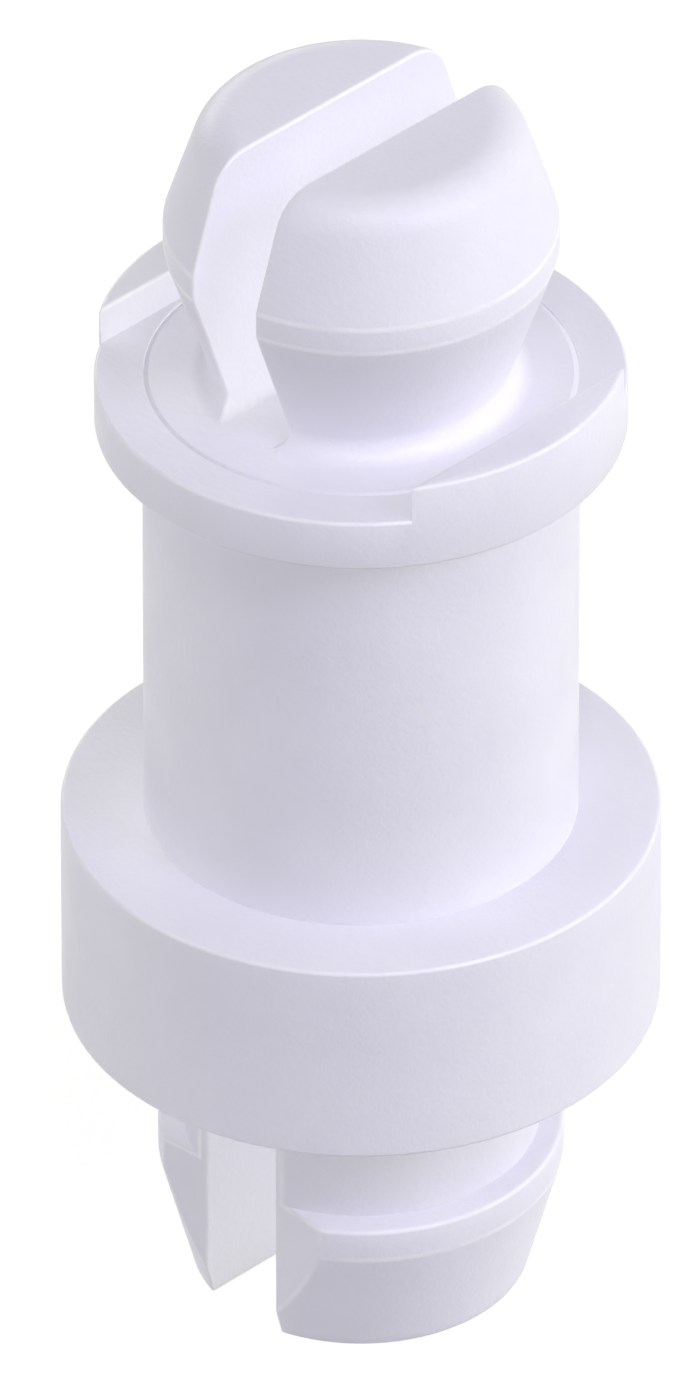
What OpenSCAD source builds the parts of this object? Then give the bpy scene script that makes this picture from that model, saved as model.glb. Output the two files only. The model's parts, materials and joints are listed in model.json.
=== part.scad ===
// PCB support post: one nylon moulding that holds a circuit board at a set height
// above a chassis plate. The split leg at the bottom snaps into a round hole in the
// plate, and the split head at the top snaps through a round hole in the board.
// Lengths are in millimetres. +Z runs up the post and both slots run along X. The
// origin is on the axis, in the plane where the base collar rests on the plate.

/* [Board and chassis] */
// Height of the board's underside above the chassis plate
stand_off = 12; // [8:0.1:40]
// Thickness of the board that the head grips
board_t = 1.6; // [0.8:0.1:3.2]
// Diameter of the hole in the board
board_hole_d = 5.6; // [4.6:0.1:6.8]
// Thickness of the chassis plate that the leg grips
chassis_t = 2.4; // [1:0.1:4]
// Diameter of the hole in the chassis plate
chassis_hole_d = 5.6; // [4.6:0.1:7]

/* [Base collar] */
// Diameter of the collar that rests on the chassis plate
collar_d = 9.2; // [7.6:0.1:12]
// Height of the collar
collar_h = 3.45; // [1:0.05:5]

/* [Post and board rim] */
// Diameter of the post, and width of the channel across the rim
post_d = 6.65; // [5.5:0.05:8]
// Diameter of the rim that carries the board
rim_d = 8.1; // [6.75:0.05:10]
// Thickness of the rim under the channel's floor
rim_t = 0.85; // [0.4:0.05:2]
// Height of the two board seats above the channel's floor
seat_rise = 0.6; // [0.2:0.05:1]
// Width of the fine witness line on the floor, around the end of the post
witness_w = 0.08; // [0.04:0.01:0.1]
// Depth of the witness line
witness_depth = 0.04; // [0.02:0.01:0.1]

/* [Head] */
// How far the head's widest band reaches past the edge of the board's hole
head_catch = 0.2; // [0.1:0.01:0.4]
// Room between the foot of the grip cone and the edge of the board's hole
neck_room = 0.6; // [0.5:0.01:0.9]
// Height of the band's lower edge above the board's upper face
catch_rise = 0.17; // [0.05:0.01:0.6]
// Height of the head's widest band
head_band_h = 0.43; // [0.1:0.01:1]
// Height of the lead-in cone above the band
lead_in_h = 1.83; // [1.2:0.01:3]
// How far the lead-in cone closes in on each side by the top
lead_in = 0.59; // [0.2:0.01:0.9]
// Radius of the rounded shoulder at the top
shoulder_r = 0.7; // [0.2:0.05:0.9]
// Radius of the fillet around the foot of the head
foot_fillet_r = 0.3; // [0.1:0.02:0.36]
// Width of the slot that splits the head
head_slot_w = 1.3; // [0.8:0.02:1.8]
// Radius at the foot of the slot's two walls
slot_root_r = 0.2; // [0.05:0.01:0.3]

/* [Leg] */
// Play of the leg in the chassis hole, on the diameter
leg_play = 0.07; // [0.02:0.01:0.3]
// Play between the chassis plate and the barbs
plate_play = 0.04; // [0.02:0.01:0.3]
// How far the barbs reach past the edge of the chassis hole
barb_catch = 0.33; // [0.15:0.01:0.5]
// Drop of the barbs' ledge from the leg out to its edge
ledge_drop = 0.06; // [0.02:0.01:0.3]
// Height of the barbs' widest band
barb_band_h = 0.53; // [0.1:0.01:1.2]
// Height of the nose cone under the barbs
nose_h = 2; // [0.8:0.05:4]
// Room between the nose's end and the edge of the chassis hole
nose_room = 0.2; // [0.1:0.02:0.5]
// How far the flats on the leg lie inside the edge of the chassis hole
flat_room = 0.18; // [0.05:0.02:0.4]
// Width of the slot that splits the leg
leg_slot_w = 1.46; // [0.8:0.02:2]

/* [Hidden] */
$fn = 96;

// How far a cutter runs past what it cuts
over = 0.1;
// How far an arc bites into the sides of the corner it rounds, so that they cross cleanly
arc_bite = 0.0002;
// Gap between the witness line and the walls of the channel
wall_gap = 0.02;
// Natural nylon
nylon_white = [0.87, 0.86, 0.92];

// Radii of the collar, the post and the rim
collar_r = collar_d / 2;
post_r = post_d / 2;
rim_r = rim_d / 2;

// Radii of the head: foot of the grip cone, widest band, end of the lead-in cone
neck_r = board_hole_d / 2 - neck_room;
head_r = board_hole_d / 2 + head_catch;
tip_r = head_r - lead_in;

// Heights of the rim, its channel and the head
floor_z = stand_off - seat_rise;
rim_z = floor_z - rim_t;
grip_z = stand_off + board_t + catch_rise;
band_z = grip_z + head_band_h;
top_z = band_z + lead_in_h;

// Radii of the leg, the barbs and the nose, and the distance of the flats from the axis
leg_r = (chassis_hole_d - leg_play) / 2;
barb_r = chassis_hole_d / 2 + barb_catch;
nose_r = chassis_hole_d / 2 - nose_room;
flat_x = chassis_hole_d / 2 - flat_room;

// Heights of the leg's edges: its root is inside the collar, the rest under the chassis seat
leg_root_z = collar_h / 2;
ledge_z = -chassis_t - plate_play;
barb_z = ledge_z - ledge_drop;
barb_foot_z = barb_z - barb_band_h;
nose_z = barb_foot_z - nose_h;

// Radii of the witness line, which lies just inside the channel's walls
witness_r = post_r - wall_gap;
witness_mid_r = witness_r - witness_w / 2;

function unit(v) = v / norm(v);

// Area between a corner and the arc that rounds it, run a little past the corner. The
// corner's sides run towards a and b.
module corner_sliver(corner, a, b, r) {
    to_a = unit(a - corner);
    to_b = unit(b - corner);
    inward = unit(to_a + to_b);
    reach = r / tan(acos(to_a * to_b) / 2);
    centre = corner + inward * norm([reach, r]);
    difference() {
        polygon([corner - inward * over, corner + to_a * reach, centre, corner + to_b * reach]);
        translate(centre) circle(r + arc_bite);
    }
}

// Half section of the collar, the post, the rim and the head, as if the rim ran all round
module body_section() {
    neck = [neck_r, floor_z];
    grip = [head_r, grip_z];
    band = [head_r, band_z];
    tip = [tip_r, top_z];
    difference() {
        polygon([
            [0, 0],
            [collar_r, 0],
            [collar_r, collar_h],
            [post_r, collar_h],
            [post_r, rim_z],
            [rim_r, rim_z],
            [rim_r, stand_off],
            [witness_r, stand_off],
            [witness_r, floor_z - witness_depth],
            [witness_r - witness_w, floor_z],
            neck,
            grip,
            band,
            tip,
            [0, top_z],
        ]);
        corner_sliver(tip, band, [0, top_z], shoulder_r);
    }
    corner_sliver(neck, grip, [post_r, floor_z], foot_fillet_r);
}

// Half section of the leg, its barbs and its nose, rooted inside the collar
module leg_section() {
    polygon([
        [0, leg_root_z],
        [leg_r, leg_root_z],
        [leg_r, ledge_z],
        [barb_r, barb_z],
        [barb_r, barb_foot_z],
        [nose_r, nose_z],
        [0, nose_z],
    ]);
}

// What is cut from the rim to leave two board seats, one on each side of the channel
module board_channel() {
    translate([0, 0, floor_z])
        difference() {
            translate([-rim_r - over, -post_r, 0]) cube([rim_d + 2 * over, post_d, seat_rise + over]);
            translate([0, 0, -over]) cylinder(r = witness_mid_r, h = seat_rise + 3 * over);
        }
}

// What is cut from the head to split it, with rounded corners at the floor
module head_slot() {
    half = head_slot_w / 2;
    rotate([90, 0, 90])
        linear_extrude(2 * (head_r + over), center = true)
            difference() {
                translate([-half, floor_z]) square([head_slot_w, top_z - floor_z + over]);
                for (side = [-1, 1])
                    corner_sliver([side * half, floor_z], [0, floor_z], [side * half, top_z], slot_root_r);
            }
}

// The two halves of the leg
module split_leg() {
    difference() {
        intersection() {
            rotate_extrude() leg_section();
            translate([-flat_x, -barb_r - over, nose_z - over])
                cube([2 * flat_x, 2 * (barb_r + over), leg_root_z - nose_z + 2 * over]);
        }
        translate([-flat_x - over, -leg_slot_w / 2, nose_z - over])
            cube([2 * (flat_x + over), leg_slot_w, leg_root_z - nose_z + 2 * over]);
    }
}

// The whole moulding
module support_post() {
    color(nylon_white) {
        difference() {
            rotate_extrude() body_section();
            board_channel();
            head_slot();
        }
        split_leg();
    }
}

support_post();
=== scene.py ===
"""Looks of a nylon PCB support post: its skin with rounded edges, its finish and a small studio."""

import json
import math
from typing import NamedTuple

import bmesh
import bpy
from bpy.props import FloatProperty, FloatVectorProperty, IntProperty, PointerProperty
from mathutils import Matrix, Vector


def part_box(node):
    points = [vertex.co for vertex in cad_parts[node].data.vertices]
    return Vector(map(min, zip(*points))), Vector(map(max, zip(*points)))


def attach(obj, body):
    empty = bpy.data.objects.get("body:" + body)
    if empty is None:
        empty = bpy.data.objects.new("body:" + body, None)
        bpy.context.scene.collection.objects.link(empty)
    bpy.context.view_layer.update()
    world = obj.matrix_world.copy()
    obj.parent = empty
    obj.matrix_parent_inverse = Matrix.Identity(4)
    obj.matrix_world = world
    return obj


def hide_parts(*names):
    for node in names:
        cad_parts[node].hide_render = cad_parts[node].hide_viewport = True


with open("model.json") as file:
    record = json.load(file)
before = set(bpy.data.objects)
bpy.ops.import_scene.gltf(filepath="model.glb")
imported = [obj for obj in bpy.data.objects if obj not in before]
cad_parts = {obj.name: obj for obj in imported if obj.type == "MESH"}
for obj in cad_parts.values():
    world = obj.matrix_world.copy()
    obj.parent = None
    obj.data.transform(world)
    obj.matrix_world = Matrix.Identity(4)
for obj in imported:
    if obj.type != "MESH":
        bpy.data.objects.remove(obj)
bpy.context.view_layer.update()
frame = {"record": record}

bl_info = {
    "name": "PCB Support Post",
    "version": (1, 0, 0),
    "blender": (4, 5, 0),
    "location": "3D View > Sidebar > Support Post",
    "description": "Builds a moulded nylon support post for a circuit board, with its finish and its stage",
    "category": "Mesh",
}

MM = 0.001
QUARTER_TURN = math.pi / 2
CAD_NODE = "support_post"

# How the skin is divided: steps along the parts of a half section, and around a rounded edge
LEDGE_STEPS = 3
BAND_STEPS = 2
NOSE_STEPS = 12
NOSE_END_STEPS = 3
ROOT_STEPS = 12
WALL_LENGTHS = 4
FOOT_STEPS = 6
CONE_STEPS = 10
SHOULDER_STEPS = 16
EDGE_STEPS = 3
# Width of the first face beside a rounded edge, and in a pointed corner, in radii of that edge
EDGE_ROOM = 2.5
POINT_ROOM = 4
# Profile of a rounded edge, where a half is a circular arc
EDGE_PROFILE = 0.5
# Points nearer than this are one point, and edges that bend by more than this are sharp
WELD = 0.0002 * MM
SHARP_ANGLE = math.radians(10)
# Mesh attribute that is one along the rounded edges and zero elsewhere
ROUNDED = "rounded_edge"

# Colour sockets of a Mix node. They go by number, because its other sockets have the same names.
MIX_A = 6
MIX_B = 7
MIX_RESULT = 2

WHITE = (1, 1, 1)

# Size of the camera's sensor along the longer side of the picture, in millimetres
SENSOR = 36
# Lengths on the stage, in metres
CLIP_START = 0.01
CLIP_END = 2
LAMP_DISTANCE = 0.3
FLOOR_REACH = 0.4
FLOOR_GAP = 0.005 * MM


class Noise(NamedTuple):
    """How finely a noise in the nylon is broken up."""

    detail: float
    roughness: float


CLOUDS = Noise(detail=3, roughness=0.55)
PATCHES = Noise(detail=4, roughness=0.6)
GRAIN = Noise(detail=2, roughness=0.6)
PATCHES_PER_CLOUD = 2
# Parts of a noise over which the clouds, the satin, and the painted edge highlight with the edges'
# smoothness go from least to most
CLOUD_RANGE = (0.35, 0.65)
SATIN_RANGE = (0.3, 0.7)
EDGE_HIGHLIGHT_AND_POLISH_RANGE = (0.4, 0.6)
LEAST_EDGE_HIGHLIGHT_AND_POLISH = 0.35
NYLON_IOR = 1.53
# How far red, green and blue light travel in the nylon, in shares of the glow's depth
NYLON_SCATTER = (1, 0.9, 0.85)


class Lamp(NamedTuple):
    """A square soft lamp with a size in metres.

    It is placed by how far it is turned from the camera and by its height, both in degrees.
    """

    name: str
    turned: float
    elevation: float
    size: float
    tint: tuple
    shadow: bool
    gloss: bool


# The wash casts no shadow, so that it reaches the walls of both slots as well. The lamps at the two
# sides are left out of the gloss, so that flat upper faces seen from across them don't glare white.
LAMPS = (
    Lamp("key", turned=46, elevation=40, size=0.08, tint=(0.58, 0.5, 1), shadow=True, gloss=True),
    Lamp("wash", turned=75, elevation=24, size=0.2, tint=(0.98, 1, 0.9), shadow=False, gloss=False),
    Lamp("top", turned=8, elevation=60, size=0.07, tint=WHITE, shadow=True, gloss=True),
    Lamp("fill", turned=-58, elevation=15, size=0.2, tint=WHITE, shadow=True, gloss=False),
    Lamp("back", turned=-160, elevation=8, size=0.2, tint=WHITE, shadow=True, gloss=True),
)

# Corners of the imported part, and the height of its board seats
LOW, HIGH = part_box(CAD_NODE)
MOUNTS = {mount["name"]: mount for mount in frame["record"]["mounts"]}
BOARD_SEAT_HEIGHT = MOUNTS["board_seat_front"]["pos_m"][2]


# Properties

def length(name, description, default):
    """A length in metres that the sidebar shows in the scene's own unit."""
    return FloatProperty(
        name=name, description=description, default=default, min=0, unit="LENGTH", precision=6
    )


def share(name, description, default):
    """A plain number from nothing to all."""
    return FloatProperty(
        name=name, description=description, default=default, min=0, max=1, subtype="FACTOR"
    )


def colour(name, description, default):
    """A colour in linear light."""
    return FloatVectorProperty(
        name=name, description=description, default=default, min=0, max=1, subtype="COLOR"
    )


def angle(name, description, degrees):
    """An angle that is written in degrees and kept in radians."""
    return FloatProperty(
        name=name, description=description, default=math.radians(degrees), subtype="ANGLE"
    )


def power(name, description, default):
    """The power of a lamp in watts."""
    return FloatProperty(name=name, description=description, default=default, min=0, unit="POWER")


class SupportPostSizes(bpy.types.PropertyGroup):
    """Sizes of the moulding. Radii are from its axis, and heights from the chassis seat"""

    collar_radius: length("Collar radius", "Radius of the collar that rests on the chassis", HIGH.x)
    collar_height: length("Collar height", "Height of the collar's upper face", 3.45 * MM)
    post_radius: length("Post radius", "Radius of the post, and half the width of the channel", 3.325 * MM)
    rim_radius: length("Rim radius", "Radius of the rim that carries the board", 4.05 * MM)
    rim_thickness: length("Rim thickness", "Thickness of the rim under the channel's floor", 0.85 * MM)
    seat_height: length("Seat height", "Height of the two board seats", BOARD_SEAT_HEIGHT)
    seat_rise: length("Seat rise", "How far the seats stand above the channel's floor", 0.6 * MM)
    witness_radius: length("Witness radius", "Outer radius of the fine witness line", 3.305 * MM)
    witness_width: length("Witness width", "Width of the fine witness line", 0.08 * MM)
    witness_depth: length("Witness depth", "Depth of the fine witness line", 0.04 * MM)

    neck_radius: length("Neck radius", "Radius of the grip cone at the channel's floor", 2.2 * MM)
    head_radius: length("Head radius", "Radius of the head's widest band", 3.0 * MM)
    tip_radius: length("Tip radius", "Radius of the lead-in cone at the head's top", 2.41 * MM)
    grip_height: length("Grip height", "Height of the band's lower edge", 13.77 * MM)
    band_height: length("Band height", "Height of the band's upper edge", 14.2 * MM)
    head_height: length("Head height", "Height of the head's flat top", HIGH.z)
    shoulder_radius: length("Shoulder radius", "Radius of the rounded shoulder at the top", 0.7 * MM)
    foot_radius: length("Foot radius", "Radius of the fillet around the head's foot", 0.3 * MM)
    head_slot: length("Head slot", "Width of the slot that splits the head", 1.3 * MM)
    root_radius: length("Root radius", "Radius at the foot of the slot's walls", 0.2 * MM)

    leg_radius: length("Leg radius", "Radius of the leg's neck", 2.765 * MM)
    ledge_depth: length("Ledge depth", "Depth of the barbs' ledge at the neck", 2.44 * MM)
    ledge_drop: length("Ledge drop", "Drop of the ledge from the neck to its edge", 0.06 * MM)
    barb_radius: length("Barb radius", "Radius of the barbs' widest band", 3.13 * MM)
    barb_height: length("Barb height", "Height of the barbs' widest band", 0.53 * MM)
    nose_radius: length("Nose radius", "Radius of the nose's end", 2.6 * MM)
    nose_depth: length("Nose depth", "Depth of the nose's end", -LOW.z)
    flat_distance: length("Flat distance", "Distance of the leg's flats from the axis", 2.62 * MM)
    leg_slot: length("Leg slot", "Width of the slot that splits the leg", 1.46 * MM)

    edge_radius: length("Edge radius", "Size of the rounding on every outer edge", 0.06 * MM)
    columns: IntProperty(
        name="Columns", description="Faces around a quarter of the head and of the leg",
        default=28, min=8, max=96,
    )


class SupportPostFinish(bpy.types.PropertyGroup):
    """Colour and surface of the nylon"""

    nylon: colour("Nylon", "Main colour of the nylon", (0.80, 0.785, 0.865))
    cloud: colour("Cloud", "Colour of the faint clouds in the nylon", (0.765, 0.75, 0.83))
    # The edge colour is a painted highlight: a paler colour along the rounded edges that stands for light
    # caught on them
    edge: colour("Edge", "Colour along the rounded edges, which are a little rubbed", (0.87, 0.86, 0.905))
    polish: share("Polish", "How much smoother the surface is along the rounded edges", 0.08)
    cloud_size: length("Cloud size", "Size of the faint clouds", 3 * MM)
    grain_size: length("Grain size", "Size of the mould's fine grain", 0.11 * MM)
    grain_depth: length("Grain depth", "Depth of the mould's fine grain", 0.009 * MM)
    smooth: share("Smoothest", "Roughness where the surface is smoothest", 0.3)
    dull: share("Dullest", "Roughness where the surface is dullest", 0.42)
    glow: share("Glow", "Share of the light that passes through the skin of the nylon", 0.2)
    glow_depth: length("Glow depth", "How far that light travels in the nylon", 0.4 * MM)


class SupportPostStage(bpy.types.PropertyGroup):
    """Camera, lamps and floor"""

    azimuth: angle("Azimuth", "Where the camera stands around the post", -45)
    elevation: angle("Elevation", "How high the camera stands", math.degrees(math.atan(1 / math.sqrt(2))))
    lens: FloatProperty(
        name="Lens", description="Focal length of the camera", default=750, min=1, subtype="DISTANCE_CAMERA"
    )
    aim: FloatVectorProperty(
        name="Aim", description="Point in the middle of the picture",
        default=(-0.12 * MM, 0.12 * MM, 5.524 * MM), subtype="TRANSLATION", unit="LENGTH",
    )
    view_height: length("View height", "Height of the picture at the aim", 20.997 * MM)
    floor: colour("Floor", "Colour of the floor", (0.4, 0.4, 0.4))
    floor_glow: share("Floor glow", "Light that lifts the seen floor to white", 0.72)
    dome: share("Dome", "Strength of the even light from all round", 0.24)
    key: power("Key", "Power of the violet lamp in front, right of the camera", 0.18)
    wash: power("Wash", "Power of the low lamp on the right that casts no shadow", 0.74)
    top: power("Top", "Power of the high lamp in front", 0.09)
    fill: power("Fill", "Power of the low lamp on the left", 0.4)
    back: power("Back", "Power of the low lamp behind the post", 0.22)


# Skin of the moulding

class Skin:
    """The faces of one quarter of the moulding, where x and y are positive."""

    def __init__(self):
        self.mesh = bmesh.new()
        self.fine = self.mesh.faces.layers.int.new("fine")
        self.rounded = self.mesh.verts.layers.float.new(ROUNDED)

    def face(self, points, fine=False):
        """Adds one face inside an outline. The edges of fine faces aren't rounded."""
        face = self.mesh.faces.new([self.mesh.verts.new(point) for point in points])
        face[self.fine] = fine

    def strip(self, rows, fine=False):
        """Joins rows of points by faces with four corners."""
        for row, following in zip(rows, rows[1:]):
            for i in range(len(row) - 1):
                self.face([row[i], row[i + 1], following[i + 1], following[i]], fine)


def spread(first, last, steps):
    """Evenly spaced values from first to last, both included."""
    return [first + (last - first) * i / steps for i in range(steps + 1)]


def line(first, last, steps):
    """Points of a half section on the straight line from first to last, without first."""
    return list(zip(spread(first[0], last[0], steps)[1:], spread(first[1], last[1], steps)[1:]))


def along(first, last, distance):
    """Point of a half section on the straight line from first to last, at a distance from first."""
    part = distance / math.dist(first, last)
    return (first[0] + (last[0] - first[0]) * part, first[1] + (last[1] - first[1]) * part)


def turn_from(edge, radius, size):
    """Angles from a rounded edge to the end of the quarter, with room beside the edge."""
    room = EDGE_ROOM * size.edge_radius / radius
    return [edge] + spread(edge + room, QUARTER_TURN, size.columns - 1)


def ring(radius, height, angles):
    """Points around the axis."""
    return [Vector((radius * math.cos(a), radius * math.sin(a), height)) for a in angles]


def section_height(first, last, radius):
    """Height at which the straight line from first to last has a radius."""
    return first[1] + (last[1] - first[1]) * (radius - first[0]) / (last[0] - first[0])


def skin_leg(skin, size, turn):
    """The leg with its barb, nose, flat and slot wall, and the collar's underside around it."""
    slot = size.leg_slot / 2
    corner_radius = math.hypot(size.flat_distance, slot)
    ledge = (size.leg_radius, -size.ledge_depth)
    barb = (size.barb_radius, ledge[1] - size.ledge_drop)
    barb_foot = (size.barb_radius, barb[1] - size.barb_height)
    nose = (size.nose_radius, -size.nose_depth)
    corner = (corner_radius, section_height(barb_foot, nose, corner_radius))
    over_corner = along(corner, barb_foot, POINT_ROOM * size.edge_radius)
    to_corner = [(size.leg_radius, 0), ledge]
    to_corner += line(ledge, barb, LEDGE_STEPS)
    to_corner += line(barb, barb_foot, BAND_STEPS)
    to_corner += line(barb_foot, over_corner, NOSE_STEPS)
    to_corner += [corner]
    section = to_corner + line(corner, nose, NOSE_END_STEPS)

    def first_angle(radius):
        on_flat = math.acos(min(1, size.flat_distance / radius))
        on_slot = math.asin(slot / radius)
        return max(on_flat, on_slot)

    rows = [ring(r, z, turn_from(first_angle(r), r, size)) for r, z in section]
    skin.strip(rows)
    side = [row[0] for row in rows]
    corner_row = len(to_corner) - 1
    slot_end = Vector((size.flat_distance, slot, 0))
    slot_middle = Vector((0, slot, 0))
    nose_middle = Vector((0, slot, -size.nose_depth))
    skin.face([slot_end] + side[:corner_row + 1])
    skin.face([slot_middle, slot_end] + side[corner_row:] + [nose_middle])
    skin.face([nose_middle] + rows[-1])
    collar_edge = ring(size.collar_radius, 0, turn)
    skin.face([Vector()] + collar_edge + rows[0][::-1] + [slot_end, slot_middle])


def skin_body(skin, size, turn, floor):
    """The collar, the post and the rim's side up to the channel's floor."""
    rim_underside = floor - size.rim_thickness
    section = [
        (size.collar_radius, 0),
        (size.collar_radius, size.collar_height),
        (size.post_radius, size.collar_height),
        (size.post_radius, rim_underside),
        (size.rim_radius, rim_underside),
        (size.rim_radius, floor),
    ]
    skin.strip([ring(r, z, turn) for r, z in section])


def skin_head(skin, size, floor):
    """The split head. Returns its lowest row of points and the foot of its slot's wall."""
    slot = size.head_slot / 2
    neck = (size.neck_radius, floor)
    grip = (size.head_radius, size.grip_height)
    band = (size.head_radius, size.band_height)
    tip = (size.tip_radius, size.head_height)

    # The foot fillet turns from the floor up to the grip cone, and where it is lower than the
    # slot's root radius it ends on that radius
    grip_lean = math.atan2(grip[0] - neck[0], grip[1] - neck[1])
    foot_r = neck[0] + size.foot_radius * math.tan((QUARTER_TURN + grip_lean) / 2)
    root_top = math.acos(1 - size.root_radius / size.foot_radius)
    cuts = []
    for turned in spread(0, QUARTER_TURN, ROOT_STEPS):
        rise = size.root_radius * (1 - math.cos(turned))
        foot_turned = math.acos(1 - rise / size.foot_radius)
        half = slot - size.root_radius * (1 - math.sin(turned))
        cuts.append((foot_r - size.foot_radius * math.sin(foot_turned), floor + rise, half))
    section = [
        (foot_r - size.foot_radius * math.sin(a), floor + size.foot_radius * (1 - math.cos(a)))
        for a in spread(root_top, QUARTER_TURN + grip_lean, FOOT_STEPS)[1:]
    ]

    # The shoulder turns from the lead-in cone over to the flat top
    tip_lean = math.atan2(band[0] - tip[0], tip[1] - band[1])
    shoulder_r = tip[0] - size.shoulder_radius * math.tan((QUARTER_TURN - tip_lean) / 2)
    shoulder = [
        (shoulder_r + size.shoulder_radius * math.cos(a), tip[1] - size.shoulder_radius * (1 - math.sin(a)))
        for a in spread(tip_lean, QUARTER_TURN, SHOULDER_STEPS)
    ]
    section += line(section[-1], grip, CONE_STEPS)
    section += line(grip, band, BAND_STEPS)
    section += line(band, shoulder[0], CONE_STEPS)
    section += shoulder[1:]
    cuts += [(r, z, slot) for r, z in section]

    rows = [ring(r, z, turn_from(math.asin(half / r), r, size)) for r, z, half in cuts]
    skin.strip(rows)
    wall = [
        [Vector((x, half, z)) for x in spread(0, row[0].x, WALL_LENGTHS)]
        for row, (_, z, half) in zip(rows[:ROOT_STEPS + FOOT_STEPS + 1], cuts)
    ]
    skin.strip(wall)
    top_middle = Vector((0, slot, size.head_height))
    skin.face(wall[-1] + [row[0] for row in rows[len(wall):]] + [top_middle])
    skin.face([top_middle] + rows[-1])
    return rows[0], wall[0]


def skin_rim(skin, size, turn, seat_turn, floor, foot, root):
    """The board seat, the channel's floor and the witness line on it."""
    groove = [
        (size.witness_radius - size.witness_width, floor),
        (size.witness_radius, floor - size.witness_depth),
        (size.witness_radius, floor),
    ]
    groove_rows = [ring(r, z, turn) for r, z in groove]
    skin.strip(groove_rows, fine=True)

    rim_edge = ring(size.rim_radius, floor, turn)
    seat_foot = ring(size.rim_radius, floor, seat_turn)
    seat_edge = ring(size.rim_radius, size.seat_height, seat_turn)
    wall_foot = Vector((0, size.post_radius, floor))
    wall_top = Vector((0, size.post_radius, size.seat_height))
    skin.strip([seat_foot, seat_edge])
    skin.face([wall_top] + seat_edge)
    skin.face([wall_foot, seat_foot[0], seat_edge[0], wall_top])

    channel_edge = rim_edge[:len(turn) - len(seat_turn) + 1]
    skin.face(channel_edge + [wall_foot] + groove_rows[-1][::-1])
    skin.face([Vector((0, 0, floor))] + groove_rows[0] + foot[::-1] + root[-2::-1])


def round_edges(skin, radius):
    """Rounds the outer edges of the whole skin, and keeps its inner corners crisp."""
    mesh = skin.mesh

    def is_fine(edge):
        return any(face[skin.fine] for face in edge.link_faces)

    outer = [e for e in mesh.edges if e.calc_face_angle_signed() > SHARP_ANGLE and not is_fine(e)]
    made = bmesh.ops.bevel(
        mesh, geom=outer, offset=radius, offset_type="OFFSET", segments=EDGE_STEPS,
        profile=EDGE_PROFILE, affect="EDGES", clamp_overlap=False, loop_slide=True,
    )
    around = set(made["faces"])
    for vert in mesh.verts:
        vert[skin.rounded] = around.issuperset(vert.link_faces)
    for edge in mesh.edges:
        bend = edge.calc_face_angle_signed()
        edge.smooth = not (bend < -SHARP_ANGLE or (is_fine(edge) and bend > SHARP_ANGLE))


def post_mesh(size):
    """The closed skin of the whole moulding, from one quarter and its mirror images."""
    floor = size.seat_height - size.seat_rise
    seat_angle = math.asin(size.post_radius / size.rim_radius)
    # Columns as wide as the seats' pointed corners need, evenly spaced on either side of them
    point_room = POINT_ROOM * size.edge_radius / size.rim_radius
    seat_turn = spread(seat_angle, QUARTER_TURN, math.floor((QUARTER_TURN - seat_angle) / point_room))
    turn = spread(0, seat_angle, math.floor(seat_angle / point_room))[:-1] + seat_turn

    skin = Skin()
    skin_leg(skin, size, turn)
    skin_body(skin, size, turn, floor)
    foot, root = skin_head(skin, size, floor)
    skin_rim(skin, size, turn, seat_turn, floor, foot, root)
    mesh = skin.mesh
    bmesh.ops.remove_doubles(mesh, verts=mesh.verts, dist=WELD)
    for axis in ("X", "Y"):
        whole = list(mesh.verts) + list(mesh.edges) + list(mesh.faces)
        bmesh.ops.mirror(mesh, geom=whole, axis=axis, merge_dist=WELD)
    bmesh.ops.remove_doubles(mesh, verts=mesh.verts, dist=WELD)
    bmesh.ops.recalc_face_normals(mesh, faces=mesh.faces)
    round_edges(skin, size.edge_radius)
    if not all(edge.is_manifold for edge in mesh.edges):
        raise RuntimeError("the post's skin isn't closed")
    for face in mesh.faces:
        face.smooth = True
    made = bpy.data.meshes.new("nylon_post")
    mesh.to_mesh(made)
    mesh.free()
    return made


# Materials

def add_node(tree, kind, place, **settings):
    """Adds a shader node at a place in the node editor, with its own settings."""
    node = tree.nodes.new(kind)
    node.location = place
    for name, value in settings.items():
        setattr(node, name, value)
    return node


def set_inputs(node, values):
    """Sets unlinked inputs of a node by name."""
    for name, value in values.items():
        node.inputs[name].default_value = value


def opaque(rgb):
    """A colour property as a socket takes it."""
    return (*rgb, 1)


def add_noise(tree, place, label, size, noise):
    """Adds a noise node whose spots have a size in metres."""
    node = add_node(tree, "ShaderNodeTexNoise", place, label=label)
    set_inputs(node, {"Scale": 1 / size, "Detail": noise.detail, "Roughness": noise.roughness})
    return node


def add_range(tree, place, label, used, least=0, most=1):
    """Adds a node that spreads the used part of a noise from least to most."""
    node = add_node(tree, "ShaderNodeMapRange", place, label=label)
    set_inputs(node, {"From Min": used[0], "From Max": used[1], "To Min": least, "To Max": most})
    return node


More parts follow.
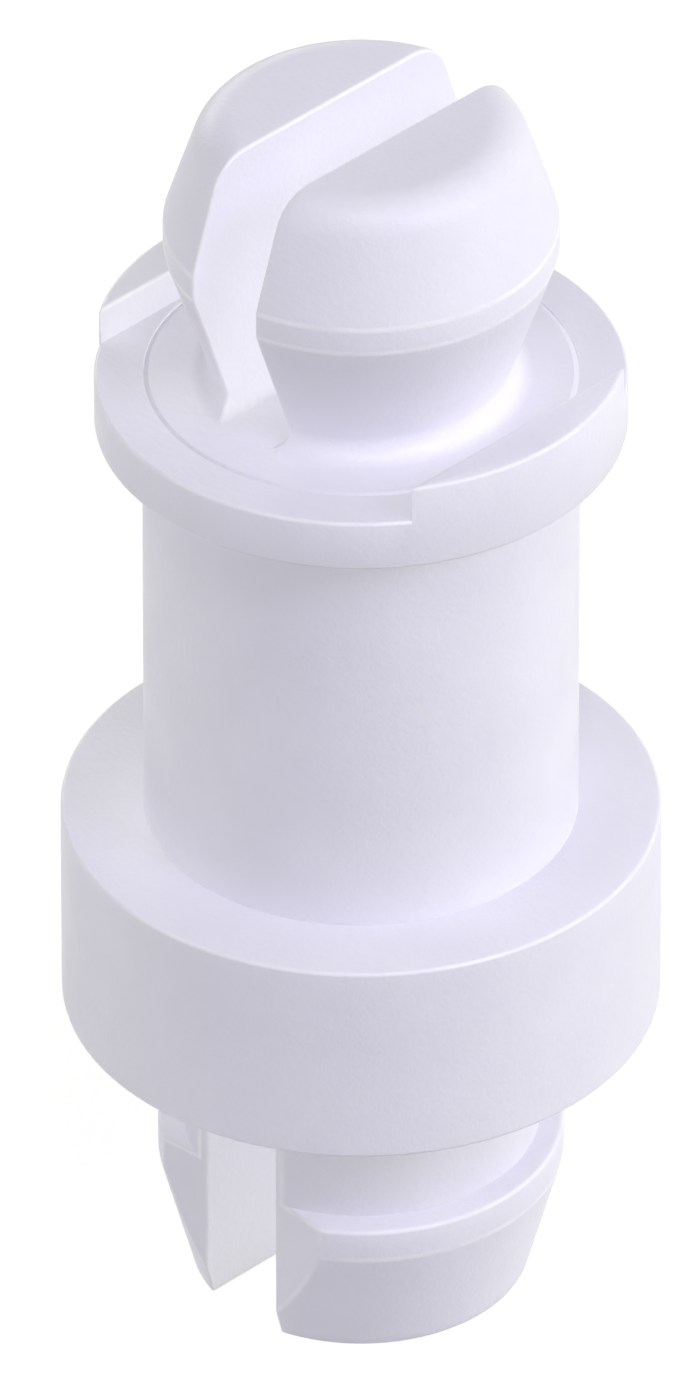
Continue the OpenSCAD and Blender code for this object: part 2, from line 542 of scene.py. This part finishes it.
def nylon_material(finish):
    """Natural nylon: faint clouds in the colour, a satin surface and the fine grain of the mould."""
    material = bpy.data.materials.new("natural_nylon")
    material.use_nodes = True
    tree = material.node_tree
    tree.nodes.clear()
    link = tree.links.new

    place = add_node(tree, "ShaderNodeTexCoord", (-1300, 0))
    clouds = add_noise(tree, (-1000, 300), "Clouds", finish.cloud_size, CLOUDS)
    patches = add_noise(tree, (-1000, 0), "Satin patches", finish.cloud_size / PATCHES_PER_CLOUD, PATCHES)
    grain = add_noise(tree, (-1000, -300), "Mould grain", finish.grain_size, GRAIN)
    for noise in (clouds, patches, grain):
        link(place.outputs["Object"], noise.inputs["Vector"])

    spread_out = add_range(tree, (-800, 300), "Clouds, spread out", CLOUD_RANGE)
    tint = add_node(tree, "ShaderNodeMix", (-600, 300), data_type="RGBA", label="Clouded colour")
    tint.inputs[MIX_A].default_value = opaque(finish.nylon)
    tint.inputs[MIX_B].default_value = opaque(finish.cloud)
    link(clouds.outputs["Fac"], spread_out.inputs["Value"])
    link(spread_out.outputs["Result"], tint.inputs["Factor"])

    satin = add_range(tree, (-600, 0), "Satin", SATIN_RANGE, finish.smooth, finish.dull)
    link(patches.outputs["Fac"], satin.inputs["Value"])

    # The rounded edges get a painted highlight, a paler colour that stands for light caught on them, and a
    # smoother surface, in some places more than in others
    edges = add_node(tree, "ShaderNodeAttribute", (-800, 600), attribute_name=ROUNDED)
    edge_unevenness = add_range(tree, (-800, 450), "Edge unevenness", EDGE_HIGHLIGHT_AND_POLISH_RANGE, LEAST_EDGE_HIGHLIGHT_AND_POLISH)
    highlight_and_polish = add_node(tree, "ShaderNodeMath", (-600, 500), operation="MULTIPLY", label="Painted edge highlight and polish")
    link(patches.outputs["Fac"], edge_unevenness.inputs["Value"])
    link(edges.outputs["Fac"], highlight_and_polish.inputs[0])
    link(edge_unevenness.outputs["Result"], highlight_and_polish.inputs[1])
    # Painted highlight: the paler edge colour is mixed in along the rounded edges
    painted_edge_highlight = add_node(tree, "ShaderNodeMix", (-400, 400), data_type="RGBA", label="Paler edges")
    painted_edge_highlight.inputs[MIX_B].default_value = opaque(finish.edge)
    link(highlight_and_polish.outputs["Value"], painted_edge_highlight.inputs["Factor"])
    link(tint.outputs[MIX_RESULT], painted_edge_highlight.inputs[MIX_A])
    rubbed = add_node(tree, "ShaderNodeMath", (-400, 100), operation="MULTIPLY_ADD", label="Rubbed edges")
    rubbed.inputs[1].default_value = -finish.polish
    link(highlight_and_polish.outputs["Value"], rubbed.inputs[0])
    link(satin.outputs["Result"], rubbed.inputs[2])

    bump = add_node(tree, "ShaderNodeBump", (-600, -300))
    set_inputs(bump, {"Strength": 1, "Distance": finish.grain_depth})
    link(grain.outputs["Fac"], bump.inputs["Height"])

    nylon = add_node(tree, "ShaderNodeBsdfPrincipled", (-250, 100))
    set_inputs(nylon, {
        "IOR": NYLON_IOR,
        "Subsurface Weight": finish.glow,
        "Subsurface Radius": NYLON_SCATTER,
        "Subsurface Scale": finish.glow_depth,
    })
    link(painted_edge_highlight.outputs[MIX_RESULT], nylon.inputs["Base Color"])
    link(rubbed.outputs["Value"], nylon.inputs["Roughness"])
    link(bump.outputs["Normal"], nylon.inputs["Normal"])
    out = add_node(tree, "ShaderNodeOutputMaterial", (50, 100))
    link(nylon.outputs["BSDF"], out.inputs["Surface"])
    return material


def seen_directly(tree, place):
    """One for rays from the camera, off a gloss or through glass, and zero for light on things."""
    path = add_node(tree, "ShaderNodeLightPath", (place[0] - 600, place[1]))
    first = add_node(tree, "ShaderNodeMath", (place[0] - 300, place[1]), operation="MAXIMUM")
    either = add_node(tree, "ShaderNodeMath", place, operation="MAXIMUM", label="Seen directly")
    tree.links.new(path.outputs["Is Camera Ray"], first.inputs[0])
    tree.links.new(path.outputs["Is Glossy Ray"], first.inputs[1])
    tree.links.new(first.outputs["Value"], either.inputs[0])
    tree.links.new(path.outputs["Is Transmission Ray"], either.inputs[1])
    return either.outputs["Value"]


def floor_material(studio):
    """A pale matt floor that looks white where no shadow falls on it, and is clear from below."""
    material = bpy.data.materials.new("pale_floor")
    material.use_nodes = True
    tree = material.node_tree
    tree.nodes.clear()
    link = tree.links.new
    matt = add_node(tree, "ShaderNodeBsdfDiffuse", (0, 0))
    set_inputs(matt, {"Color": opaque(studio.floor)})
    lift = add_node(tree, "ShaderNodeMath", (-200, -200), operation="MULTIPLY", label="Lift")
    lift.inputs[1].default_value = studio.floor_glow
    glow = add_node(tree, "ShaderNodeEmission", (0, -200))
    both = add_node(tree, "ShaderNodeAddShader", (250, 0))
    side = add_node(tree, "ShaderNodeNewGeometry", (250, 300))
    clear = add_node(tree, "ShaderNodeBsdfTransparent", (250, -200))
    mix = add_node(tree, "ShaderNodeMixShader", (500, 0))
    out = add_node(tree, "ShaderNodeOutputMaterial", (750, 0))
    link(seen_directly(tree, (-500, -200)), lift.inputs[0])
    link(lift.outputs["Value"], glow.inputs["Strength"])
    link(matt.outputs["BSDF"], both.inputs[0])
    link(glow.outputs["Emission"], both.inputs[1])
    link(side.outputs["Backfacing"], mix.inputs["Fac"])
    link(both.outputs["Shader"], mix.inputs[1])
    link(clear.outputs["BSDF"], mix.inputs[2])
    link(mix.outputs["Shader"], out.inputs["Surface"])
    return material


# Stage

def toward(azimuth, elevation):
    """Unit vector from the post to a place around it.

    Azimuth 0 is on the -Y side, and it grows towards +X.
    """
    flat = math.cos(elevation)
    return Vector((math.sin(azimuth) * flat, -math.cos(azimuth) * flat, math.sin(elevation)))


def add_object(name, data):
    """Links a new object into the scene."""
    made = bpy.data.objects.new(name, data)
    bpy.context.scene.collection.objects.link(made)
    return made


def look_along(obj, direction):
    """Turns a camera or a lamp to look along a direction, with its upper side up."""
    obj.rotation_euler = direction.to_track_quat("-Z", "Y").to_euler()


def add_lamp(lamp, studio):
    """A lamp that shines on the post. The camera doesn't see it."""
    light = bpy.data.lights.new(lamp.name, "AREA")
    light.size = lamp.size
    light.energy = getattr(studio, lamp.name)
    light.color = lamp.tint
    light.use_shadow = lamp.shadow
    made = add_object(f"{lamp.name}_lamp", light)
    out = toward(studio.azimuth + math.radians(lamp.turned), math.radians(lamp.elevation))
    made.location = Vector(studio.aim) + out * LAMP_DISTANCE
    look_along(made, -out)
    made.visible_camera = False
    made.visible_glossy = lamp.gloss


def add_floor(studio):
    """The floor just under the nose."""
    mesh = bpy.data.meshes.new("floor")
    height = LOW.z - FLOOR_GAP
    corners = [(-1, -1), (1, -1), (1, 1), (-1, 1)]
    mesh.from_pydata([(x * FLOOR_REACH, y * FLOOR_REACH, height) for x, y in corners], [], [(0, 1, 2, 3)])
    mesh.materials.append(floor_material(studio))
    add_object("floor", mesh)


def set_world(studio):
    """Even light from all round, in front of a white background."""
    world = bpy.data.worlds.new("dome")
    world.use_nodes = True
    tree = world.node_tree
    tree.nodes.clear()
    dome = add_node(tree, "ShaderNodeBackground", (0, 0), label="Dome")
    set_inputs(dome, {"Color": opaque(WHITE), "Strength": studio.dome})
    white = add_node(tree, "ShaderNodeBackground", (0, -150), label="White")
    set_inputs(white, {"Color": opaque(WHITE), "Strength": 1})
    mix = add_node(tree, "ShaderNodeMixShader", (250, 0))
    out = add_node(tree, "ShaderNodeOutputWorld", (500, 0))
    tree.links.new(seen_directly(tree, (0, 200)), mix.inputs["Fac"])
    tree.links.new(dome.outputs["Background"], mix.inputs[1])
    tree.links.new(white.outputs["Background"], mix.inputs[2])
    tree.links.new(mix.outputs["Shader"], out.inputs["Surface"])
    bpy.context.scene.world = world


def set_camera(studio):
    """A long lens far away, so that the picture is close to an isometric one."""
    lens = bpy.data.cameras.new("camera")
    lens.lens = studio.lens
    lens.sensor_width = SENSOR
    lens.clip_start = CLIP_START
    lens.clip_end = CLIP_END
    camera = add_object("camera", lens)
    out = toward(studio.azimuth, studio.elevation)
    camera.location = Vector(studio.aim) + out * studio.view_height * studio.lens / SENSOR
    look_along(camera, -out)
    bpy.context.scene.camera = camera


# Add-on

class SUPPORTPOST_OT_mould(bpy.types.Operator):
    """Mould the post in nylon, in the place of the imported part"""

    bl_idname = "support_post.mould"
    bl_label = "Mould Support Post"

    def execute(self, context):
        post = add_object("nylon_post", post_mesh(context.scene.support_post_sizes))
        post.data.materials.append(nylon_material(context.scene.support_post_finish))
        post.modifiers.new("even_shading", "WEIGHTED_NORMAL").keep_sharp = True
        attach(post, "root")
        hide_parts(CAD_NODE)
        return {"FINISHED"}


class SUPPORTPOST_OT_stage(bpy.types.Operator):
    """Set up the floor, the lamps and the camera"""

    bl_idname = "support_post.stage"
    bl_label = "Set Stage"

    def execute(self, context):
        studio = context.scene.support_post_stage
        add_floor(studio)
        set_world(studio)
        for lamp in LAMPS:
            add_lamp(lamp, studio)
        set_camera(studio)
        context.scene.view_settings.view_transform = "Standard"
        return {"FINISHED"}


class SUPPORTPOST_PT_sidebar(bpy.types.Panel):
    """Lists the steps and their values"""

    bl_idname = "SUPPORTPOST_PT_sidebar"
    bl_label = "Support Post"
    bl_space_type = "VIEW_3D"
    bl_region_type = "UI"
    bl_category = "Support Post"

    def draw(self, context):
        scene = context.scene
        groups = (
            (SUPPORTPOST_OT_mould, (scene.support_post_sizes, scene.support_post_finish)),
            (SUPPORTPOST_OT_stage, (scene.support_post_stage,)),
        )
        for operator, values in groups:
            box = self.layout.box()
            for group in values:
                for name in group.__annotations__:
                    box.prop(group, name)
            box.operator(operator.bl_idname)


CLASSES = (
    SupportPostSizes,
    SupportPostFinish,
    SupportPostStage,
    SUPPORTPOST_OT_mould,
    SUPPORTPOST_OT_stage,
    SUPPORTPOST_PT_sidebar,
)
POINTERS = {
    "support_post_sizes": SupportPostSizes,
    "support_post_finish": SupportPostFinish,
    "support_post_stage": SupportPostStage,
}


def register():
    for cls in CLASSES:
        bpy.utils.register_class(cls)
    for name, group in POINTERS.items():
        setattr(bpy.types.Scene, name, PointerProperty(type=group))


def unregister():
    for name in POINTERS:
        delattr(bpy.types.Scene, name)
    for cls in reversed(CLASSES):
        bpy.utils.unregister_class(cls)


def main():
    register()
    bpy.ops.support_post.mould()
    bpy.ops.support_post.stage()


if __name__ == "__main__":
    main()
